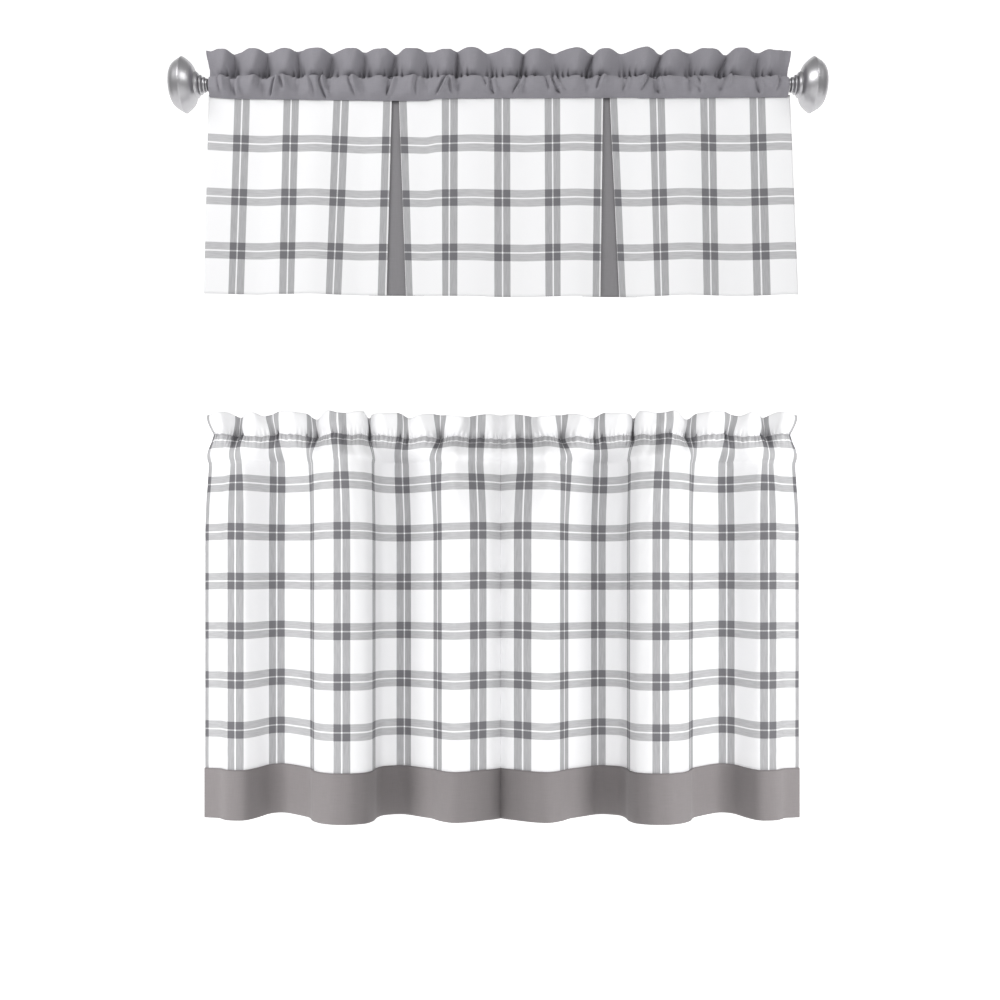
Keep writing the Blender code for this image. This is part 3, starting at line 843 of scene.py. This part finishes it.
# %% Tier sizes
MEETING_X = 0.0039
MEETING_GAP = 0.0004
LAP = 0.0030  # how far the right tier reaches past the middle, behind the left one
LAP_BACK = 0.0038  # how far behind the left one it hangs there
LAP_REACH = 0.025  # about how wide the part is that is turned back
RIGHT_TIER_SPREAD = 1.01
TIER_TOP = -0.4920
TIER_STITCH = -0.5270
TIER_SEAM = -0.5618
POCKET_OUT = 0.0098
BODY_LENGTH = 0.5405
BAND_HEIGHT = 0.0750
BAND_LAP = 0.0080
FOLD_LENGTH = 0.1100
FOLD_DEPTH = 0.96  # depth of the folds over that of free cloth, since pressed cloth lies flatter
FOLD_START = 0.0120
OWN_RISE = 0.3
STEP_DOWN = 0.006
TIER_COLUMNS = 401
FLAT_STEPS = 1219  # places across the flat cloth where a line is worked out
# Width of one tier at its top edge, at the stitches, at the seam and in the long folds
TOP_WIDTH = 0.4367
STITCH_WIDTH = 0.4273
SEAM_WIDTH = 0.4486
FOLD_WIDTH = 0.4485
# The left tier from its outer edge to the middle: flat width in millimetres, and how steeply it
# leans towards the front, in degrees, at the top edge, the stitches, the seam and in the long folds
TIER_FOLDS = (
    (27.0, 43, 57, 22, 24), (27.3, -51, -76, 56, 58), (12.5, -58, -55, 36, 9),
    (12.5, 70, 59, 46, 4), (24, 55, 38, -37, -50), (24, -51, -36, -48, -57),
    (12.5, -32, -52, -35, -26), (12.5, 36, 58, -11, -9), (24, 39, 41, 29, 24),
    (24, -37, -38, 39, 29), (12.5, -68, -54, 59, 73), (12.5, -65, -51, 72, 75),
    (24, 60, 61, 47, 55), (24, 59, 62, 35, 36), (12.5, 23, 33, 47, 6),
    (12.5, -23, -30, 8, 2), (24, -16, -25, -34, -30), (24, -81, -75, -60, -72),
    (12.5, -88, -88, -88, -88), (12.5, 88, 88, -88, -88), (24, 50, 50, -63, -72),
    (24, -21, -36, -43, -25), (12.5, -58, -44, -20, 1), (12.5, -57, -43, 29, 35),
    (24, 50, 37, 47, 41), (24, -34, -36, 41, 39), (12.5, -34, -71, 44, 64),
    (12.5, 46, 73, 37, 58), (24, 26, 46, 48, 42), (24, -68, -42, -32, 2),
    (12.5, 19, 8, -21, -9), (12.5, 5, -8, -28, -21), (10.0, -14, 8, -10, -22),
    (20.0, -52, -50, -36, -56),
)
# How far a lean fades into the next, in metres, at the same four heights
SOFTNESS = (0.0045, 0.0045, 0.0060, 0.0080)
FLAT_WIDTH = sum(row[0] for row in TIER_FOLDS) / 1000
ACROSS = np.linspace(0.0, FLAT_WIDTH, FLAT_STEPS)
COLUMN_PLACES = np.linspace(0.0, FLAT_WIDTH, TIER_COLUMNS)
POCKET_HEIGHT = TIER_STITCH - TIER_SEAM
RUFFLE_HEIGHT = TIER_TOP - TIER_STITCH


def lean_across(column):
    """Lean across the flat cloth from one column of the table of folds, softened, in radians."""
    ends = np.cumsum([row[0] for row in TIER_FOLDS]) / 1000
    leans = np.radians([row[column + 1] for row in TIER_FOLDS])
    lean = leans[np.minimum(np.searchsorted(ends, ACROSS), len(leans) - 1)]
    step = ACROSS[1] - ACROSS[0]
    reach = int(3 * SOFTNESS[column] / step)
    kernel = bell(np.arange(-reach, reach + 1) * step, SOFTNESS[column])
    return np.convolve(np.pad(lean, reach, mode="edge"), kernel / kernel.sum(), mode="valid")


TOP_LEAN, STITCH_LEAN, SEAM_LEAN, FOLD_LEAN = (lean_across(column) for column in range(4))


def laid_line(lean, width):
    """x and y of cloth that leans so, every lean scaled until it is width wide. x ends at 0."""
    step = ACROSS[1] - ACROSS[0]
    middle = (lean[1:] + lean[:-1]) / 2
    low, high = 0.3, 1.4
    for _ in range(30):
        scale = (low + high) / 2
        low, high = (scale, high) if np.cos(scale * middle).sum() * step > width else (low, scale)
    x = np.append(0.0, np.cumsum(np.cos(scale * middle))) * step
    y = -np.append(0.0, np.cumsum(np.sin(scale * middle))) * step
    return x - x[-1], (y - (y.max() + y.min()) / 2) * FOLD_DEPTH


def tier_line(down):
    """x and y at a place down the cloth from the seam, or up it where down is under 0."""
    if down >= 0.0:
        turned = 1.0 - (1.0 - min(down ** 2 / (down + FOLD_START) / FOLD_LENGTH, 1.0)) ** 2
        width = SEAM_WIDTH + (FOLD_WIDTH - SEAM_WIDTH) * turned
        return laid_line(SEAM_LEAN + (FOLD_LEAN - SEAM_LEAN) * turned, width)
    if down > -POCKET_HEIGHT:
        share = ease(-down / POCKET_HEIGHT)
        first, second = laid_line(SEAM_LEAN, SEAM_WIDTH), laid_line(STITCH_LEAN, STITCH_WIDTH)
    else:
        share = ease((-POCKET_HEIGHT - down) / RUFFLE_HEIGHT) ** 0.7
        first, second = laid_line(STITCH_LEAN, STITCH_WIDTH), laid_line(TOP_LEAN, TOP_WIDTH)
    return tuple(one + (two - one) * share for one, two in zip(first, second))


print("a tier is cut", round(FLAT_WIDTH, 3), "m wide")

# %% [markdown]
# ## A tier's sheet
# Below the seam the gathers open into the long folds. The cloth keeps its length there, so where a
# point moves sideways from one row to the next it drops less. Above the seam the sheet runs up the
# front of the pocket, over the ruffle's edge and down the back.

# %% Laying a tier
# Dips of the ruffle's top edge: flat place from the outer edge, depth, both in millimetres
TIER_DIPS = ((0, 5), (67, 6), (120, 5), (225, 7), (286, 3), (359, 6), (448, 7), (541, 6))
TIER_DIP_WIDTH = 0.022
# Tucks at the stitches: flat place from the outer edge, depth, width, all in millimetres
TIER_TUCKS = ((20, 2, 2.6), (36, 3, 2.4), (59, 7, 2.6), (69, 10, 4.2), (80, 5, 2.4),
              (97, 3, 2.4), (112, 2, 2.6), (134, 6, 2.4), (146, 6, 2.4), (176, 3, 3),
              (199, 6, 2.6), (209, 9, 2.8), (222, 11, 3.4), (248, 3, 2.6), (270, 6, 2.4),
              (279, 9, 2.6), (287, 4, 2.4), (297, 6, 2.8), (322, 3, 2.4), (333, 2, 2.4),
              (359, 10, 4.0), (378, 4, 2.4), (392, 3, 2.4), (425, 6, 2.4), (440, 6, 2.4),
              (463, 3, 2.4), (494, 7, 2.4), (505, 8, 3.4), (517, 5, 2.4), (528, 3, 2.4),
              (545, 2, 2.4), (568, 4, 2.4), (588, 4, 2.4))
SHIRR = 0.0030  # height of the small ripples that the gathering thread leaves
SHIRR_PITCH = 0.0082
RUFFLE_RELIEF = 0.0011  # unevenness of the ruffle's top edge
POCKET_CRUMPLE = 0.0017  # of the pocket just below the stitches
ROW_WAVER = 0.0016  # of the row of stitches, in long waves and in short ones
ROW_WIGGLE = 0.0007
TIER_RELIEF = 0.00035  # of the whole sheet
LAYER_ROOM = 0.85  # share of the gap between the pocket's layers that a tuck may close
# Where the lower edge is drawn up a little: flat place from the outer edge, lift, width, all in
# millimetres
HEM_LIFTS = ((0, -1.5, 30), (145, 5.0, 45), (291, 1.0, 40), (600, 3.0, 40))
# The heading by height: share of the way up the pocket or ruffle, how far the layer stands out
POCKET_STEPS = (0.0, 0.03, 0.08, 0.15, 0.24, 0.35, 0.47, 0.59, 0.70, 0.80, 0.88, 0.94, 0.975)
RUFFLE_STEPS = (0.0, 0.03, 0.08, 0.15, 0.24, 0.34, 0.45, 0.56, 0.67, 0.78, 0.88, 0.95, 0.985)
POCKET_HOLD = 0.80  # share of the gathers left on the pocket, where the cloth lies flatter


def across_columns(line):
    return np.interp(COLUMN_PLACES, ACROSS, line)


def fallen_rows(places):
    """Rows of points down the body of the left tier at the places down its cloth."""
    steps = np.arange(0.0, BODY_LENGTH + STEP_DOWN, STEP_DOWN)
    lines = [np.array(tier_line(down)) for down in steps]
    heights = [np.full(FLAT_STEPS, TIER_SEAM)]
    for above, below in zip(lines, lines[1:]):
        moved = ((below - above) ** 2).sum(axis=0)
        drop = np.sqrt(np.maximum(STEP_DOWN ** 2 - moved, 0.0))
        heights.append(heights[-1] - OWN_RISE * drop - (1.0 - OWN_RISE) * drop.mean())
    heights = np.array(heights)
    flat_place = COLUMN_PLACES * 1000
    lift = sum(up / 1000 * bell(flat_place - place, width) for place, up, width in HEM_LIFTS)
    rows = []
    for down in places:
        x, y = tier_line(down)
        at = min(int(down / STEP_DOWN), len(steps) - 2)
        part = down / STEP_DOWN - at
        z = heights[at] + (heights[at + 1] - heights[at]) * part
        row = np.stack([across_columns(line) for line in (x, y, z)], axis=1)
        row[:, 2] += lift * ease(down / BODY_LENGTH)
        rows.append(row)
    return rows


def heading_layers():
    """Rows of the pocket and ruffle, up the front and down the back."""
    flat_place = COLUMN_PLACES * 1000
    dip = sum(deep / 1000 * bell(flat_place - place, TIER_DIP_WIDTH * 1000)
              for place, deep in TIER_DIPS)
    edge = crumple(flat_place / 1000, 0.0, RUFFLE_RELIEF, 13, 6, 0.022, 0.060)
    levels = []
    for share in POCKET_STEPS:
        out = POCKET_OUT * np.sin(pi * share) ** 0.75
        hold = 1.0 + (POCKET_HOLD - 1.0) * np.sin(pi * share) ** 0.8
        levels.append((share * POCKET_HEIGHT, hold, out, LAYER_STEP))
    for share in RUFFLE_STEPS:
        apart = 0.0008 + 0.0014 * np.sin(pi * share) ** 0.7
        levels.append((POCKET_HEIGHT + share * RUFFLE_HEIGHT, 1.0, 0.0, apart))
    rows = []
    for side, order in ((-1, levels), (1, levels[::-1])):
        for up, hold, out, apart in order:
            x, y = tier_line(-up)
            x, y = (across_columns(line) for line in beside(x, y * hold, side * apart))
            over = ease((up - POCKET_HEIGHT) / RUFFLE_HEIGHT) ** 1.5
            z = TIER_SEAM + up - (dip - edge) * over
            rows.append(np.stack((x, y + side * out, z), axis=1))
    return rows


def tuck_relief(points):
    """How far the tucks pull the cloth back, by its place on the flat cloth and its height."""
    flat_place = COLUMN_PLACES[None, :]
    off = points[..., 2] - TIER_STITCH
    tall = np.where(off > 0, 0.0085, 0.0070)
    relief = np.zeros(off.shape)
    for place, deep, width in TIER_TUCKS:
        relief += deep / 1000 * bell(flat_place - place / 1000, width / 1000) * bell(off, tall)
    ripples = np.sin(2 * pi * flat_place / SHIRR_PITCH + 3.0 * np.sin(flat_place * 60.0))
    relief += SHIRR * ripples * bell(off + 0.0035, 0.0085)
    wrinkles = crumple(flat_place, points[..., 2] * 0.6, POCKET_CRUMPLE, 11)
    relief += wrinkles * bell(off + 0.016, 0.015)
    return relief


def tier_sheet():
    """Points and flat places of the left tier's sheet, from its lower edge to the pocket's back."""
    body_end = BODY_LENGTH - BAND_HEIGHT + BAND_LAP
    places = np.append(np.linspace(0.0, 0.15, 26), np.linspace(0.15, body_end, 36)[1:])[1:]
    body = fallen_rows(places[::-1])
    layers = heading_layers()
    points = np.array(body + layers)
    half = len(layers) // 2
    relief = tuck_relief(points)
    pocket_back = points[len(body) + half:, :, 2] < TIER_STITCH - 0.001
    layer = points[len(body):, :, 1]
    gap = (layer - layer[::-1])[half:]
    pushed = relief[len(body) + half:]
    apart = np.maximum(-pushed, pushed - LAYER_ROOM * gap)
    relief[len(body) + half:] = np.where(pocket_back, apart, pushed)
    points[..., 1] += relief
    off = points[..., 2] - TIER_STITCH
    waver = crumple(points[..., 0], 0.0, ROW_WAVER, 5, 6, 0.03, 0.09)
    wiggle = crumple(points[..., 0], 0.0, ROW_WIGGLE, 6, 6, 0.007, 0.02)
    points[..., 2] += waver * bell(off, 0.020)
    points[..., 2] += wiggle * bell(off + 0.003, 0.010)
    points[..., 1] += crumple(points[..., 0] * 1.4, points[..., 2], TIER_RELIEF, 7)
    up_run = run_lengths(points[len(body):]).mean(axis=1)
    along = np.concatenate((-places[::-1], up_run))
    return points, np.stack(np.meshgrid(COLUMN_PLACES, along), axis=2)


def placed(points, side):
    """The left tier's points in place, -1, or mirrored as the right tier, 1."""
    spread = 1.0 if side < 0 else RIGHT_TIER_SPREAD
    there = points.copy()
    there[..., 0] = MEETING_X + side * (MEETING_GAP / 2 - spread * points[..., 0])
    if side > 0:
        near = bell(there[..., 0] - MEETING_X, LAP_REACH)
        there[..., 0] -= LAP * near
        there[..., 1] += LAP_BACK * near
    return there


tier_points, tier_flat = tier_sheet()
for side, word in ((-1, "left"), (1, "right")):
    there = placed(tier_points, side)[:, ::-side]
    cloth = lay_sheet(f"check_tier_{word}", there, tier_flat[:, ::-side], CLOTH, tier_check)
    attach(cloth, "root")
    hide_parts(f"tier_{word}_heading", f"tier_{word}_panel")

# %% [markdown]
# ## Hem bands
# The band is a strip folded double and sewn over the lower edge of the check. It follows the same
# folds just in front of it.

# %% Bands
BAND_CLOTH = 0.0019
BAND_OFF = CLOTH / 2 + 0.0003 + BAND_CLOTH / 2
BAND_ROWS = 26

band_top = BODY_LENGTH - BAND_HEIGHT
band_places = np.linspace(BODY_LENGTH, band_top, BAND_ROWS)
band_points = np.array(fallen_rows(band_places))
for row in band_points:
    row[:, 0], row[:, 1] = beside(row[:, 0], row[:, 1], -BAND_OFF)
band_flat = np.stack(np.meshgrid(COLUMN_PLACES, -band_places), axis=2)
for side, word in ((-1, "left"), (1, "right")):
    there = placed(band_points, side)[:, ::-side]
    band = lay_sheet(f"hem_band_{word}", there, band_flat[:, ::-side], BAND_CLOTH, band_cloth)
    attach(band, "root")
    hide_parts(f"tier_{word}_band")
print("band hem from", float(band_points[0, :, 2].min()), "to", float(band_points[0, :, 2].max()))

# %% [markdown]
# ## Flags
# A photographer keeps a lamp off part of the set with a black card, a flag. Here each lamp has a
# list of the pieces that it lights.

# %% Flags
LIT_BY = {"check_tier_left": ("left", "tiers"), "check_tier_right": ("right", "tiers"),
          "hem_band_left": ("left hem",), "hem_band_right": ("right hem",)}
for made in scene.objects:
    if made.type == "MESH" and made != backdrop:
        for part in LIT_BY.get(made.name, ("upper",)):
            lit[part].objects.link(made)
